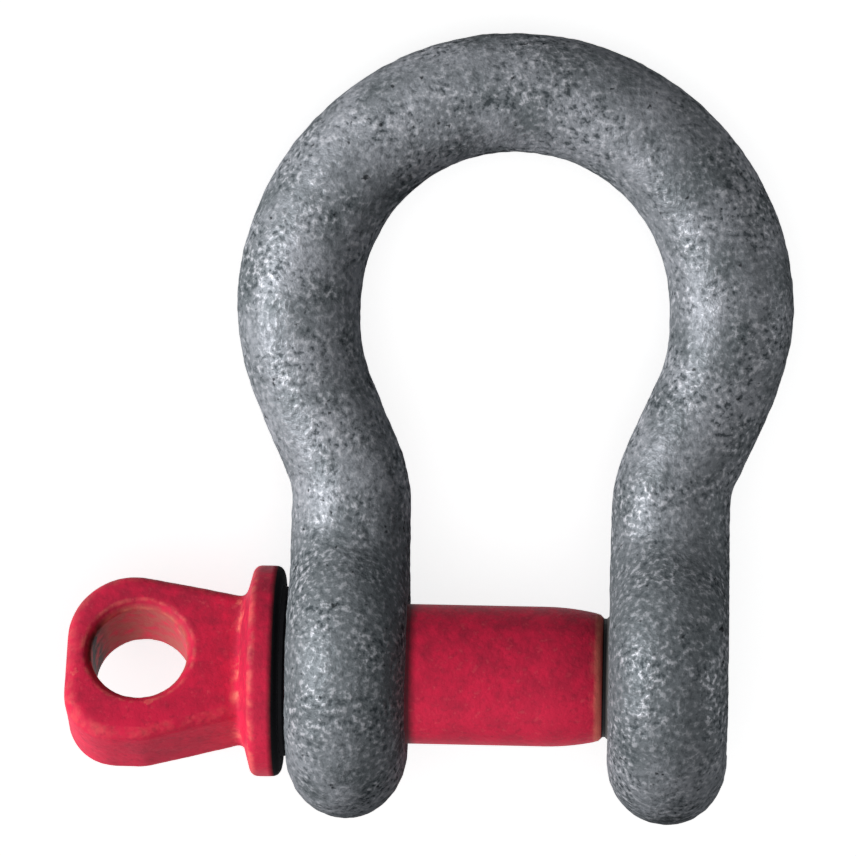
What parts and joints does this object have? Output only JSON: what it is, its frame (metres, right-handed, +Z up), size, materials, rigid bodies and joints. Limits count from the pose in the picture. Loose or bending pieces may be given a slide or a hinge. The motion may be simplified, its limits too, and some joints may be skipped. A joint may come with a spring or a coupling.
{
  "type": "screw pin bow shackle",
  "caption": "Forged bow shackle with round ears, closed by a threaded pin that has a flat eye and a collar, for joining chain, rope and lifting gear.",
  "frame": {"origin": "on the pin's axis, midway between the ears", "axes": "+X along the pin from its eye to its tip, +Y from the pin towards the bow's crown, +Z up from the floor that the shackle lies on"},
  "size_m": [0.1153, 0.1255, 0.0468],
  "materials": {
    "galvanised_bow": "hot-dip galvanised forging, dull mottled grey with a fine pitted grain",
    "red_pin": "satin red paint over a forged and turned pin, worn lighter along its edges"
  },
  "bodies": {
    "bow": {"bow": "galvanised_bow"},
    "pin": {"screw_pin": "red_pin"}
  },
  "joints": [
    {"name": "pin_withdraw", "type": "slide", "parent": "bow", "child": "pin", "axis": [-1, 0, 0], "range_m": [0, 0.07]}
  ]
}
